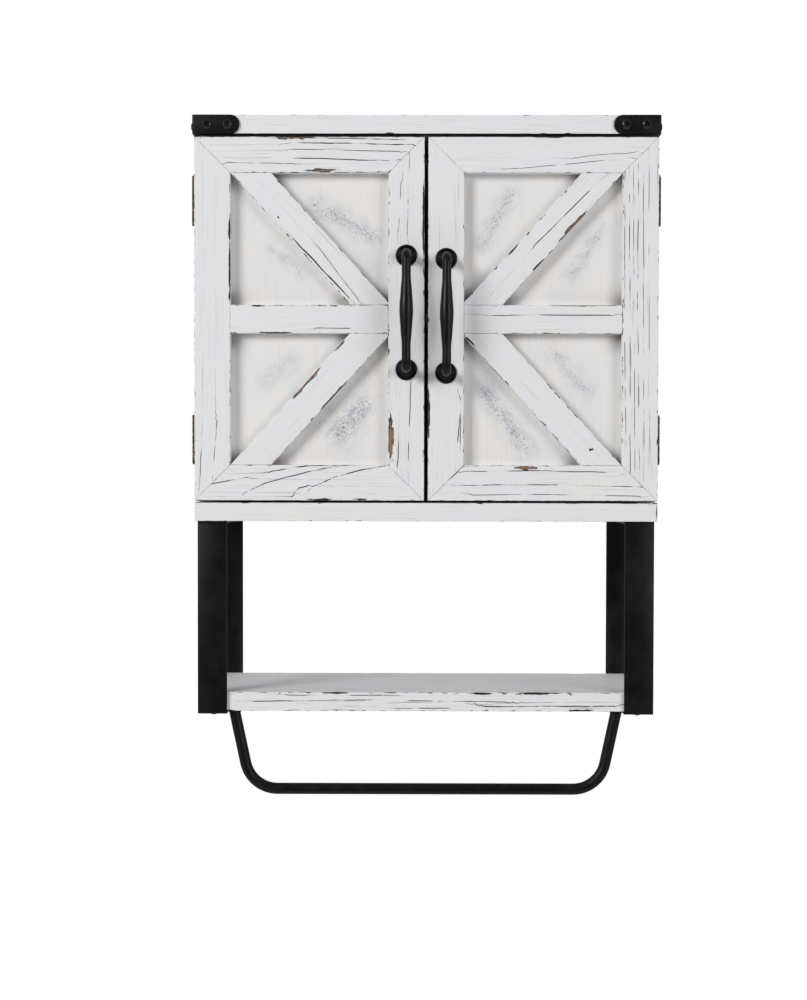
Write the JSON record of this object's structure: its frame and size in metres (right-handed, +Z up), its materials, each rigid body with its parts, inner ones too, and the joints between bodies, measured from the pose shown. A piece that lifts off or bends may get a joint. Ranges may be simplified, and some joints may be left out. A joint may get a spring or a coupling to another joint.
{
  "type": "hanging wall cabinet",
  "caption": "Two-door farmhouse wall cabinet with braced doors, an open shelf hung on flat-bar frames below it and a bent towel bar under the shelf.",
  "frame": {"origin": "midway between the two wall screws, on the wall plane", "axes": "+Z up, +Y into the wall, +X along the wall to the right of a person who faces the doors"},
  "size_m": [0.4996, 0.2072, 0.7225],
  "materials": {
    "whitewashed_wood": "distressed white paint over dark-stained solid wood, satin",
    "whitewashed_panel": "thin whitewash on plywood, matt",
    "black_powder_coat": "fine-textured black powder coat on steel",
    "black_cast_metal": "satin black paint on cast zinc",
    "antique_bronze": "embossed and darkened bronze plate, rubbed on the high spots",
    "zinc_steel": "bright zinc-plated steel",
    "catch_housing": "moulded brown plastic",
    "beech_dowel": "plain turned beech"
  },
  "bodies": {
    "cabinet": {"top_board": "whitewashed_wood", "bottom_board": "whitewashed_wood", "left_side": "whitewashed_wood", "right_side": "whitewashed_wood", "back_panel": "whitewashed_panel", "back_panel_nails": "zinc_steel", "case_dowels": "beech_dowel", "hanging_rail": "whitewashed_wood", "inner_shelf": "whitewashed_wood", "shelf_pins": "zinc_steel", "corner_strap_left": "black_powder_coat", "corner_strap_right": "black_powder_coat", "corner_strap_screws": "black_powder_coat", "magnetic_catches": "catch_housing", "catch_screws": "zinc_steel", "hanger_frame_left": "black_powder_coat", "hanger_frame_right": "black_powder_coat", "hanger_top_screws": "black_powder_coat", "hanger_shelf_screws": "black_powder_coat", "lower_shelf": "whitewashed_wood", "towel_bar": "black_powder_coat", "towel_bar_screws": "black_powder_coat", "left_upper_case_leaf": "antique_bronze", "left_lower_case_leaf": "antique_bronze", "right_upper_case_leaf": "antique_bronze", "right_lower_case_leaf": "antique_bronze", "left_upper_hinge_pin": "antique_bronze", "left_lower_hinge_pin": "antique_bronze", "right_upper_hinge_pin": "antique_bronze", "right_lower_hinge_pin": "antique_bronze", "case_leaf_screws": "antique_bronze"},
    "left_door": {"left_door_panel": "whitewashed_panel", "left_outer_stile": "whitewashed_wood", "left_inner_stile": "whitewashed_wood", "left_top_rail": "whitewashed_wood", "left_bottom_rail": "whitewashed_wood", "left_mid_rail": "whitewashed_wood", "left_upper_brace": "whitewashed_wood", "left_lower_brace": "whitewashed_wood", "left_handle": "black_cast_metal", "left_handle_screws": "zinc_steel", "left_strike_plate": "zinc_steel", "left_upper_door_leaf": "antique_bronze", "left_lower_door_leaf": "antique_bronze", "left_door_screws": "antique_bronze"},
    "right_door": {"right_door_panel": "whitewashed_panel", "right_outer_stile": "whitewashed_wood", "right_inner_stile": "whitewashed_wood", "right_top_rail": "whitewashed_wood", "right_bottom_rail": "whitewashed_wood", "right_mid_rail": "whitewashed_wood", "right_upper_brace": "whitewashed_wood", "right_lower_brace": "whitewashed_wood", "right_handle": "black_cast_metal", "right_handle_screws": "zinc_steel", "right_strike_plate": "zinc_steel", "right_upper_door_leaf": "antique_bronze", "right_lower_door_leaf": "antique_bronze", "right_door_screws": "antique_bronze"}
  },
  "joints": [
    {"name": "left_door_hinge", "type": "hinge", "parent": "cabinet", "child": "left_door", "pos_m": [-0.2475, -0.151, -0.1645], "axis": [0, 0, -1], "range_deg": [0, 180]},
    {"name": "right_door_hinge", "type": "hinge", "parent": "cabinet", "child": "right_door", "pos_m": [0.2475, -0.151, -0.1645], "axis": [0, 0, 1], "range_deg": [0, 180]}
  ]
}
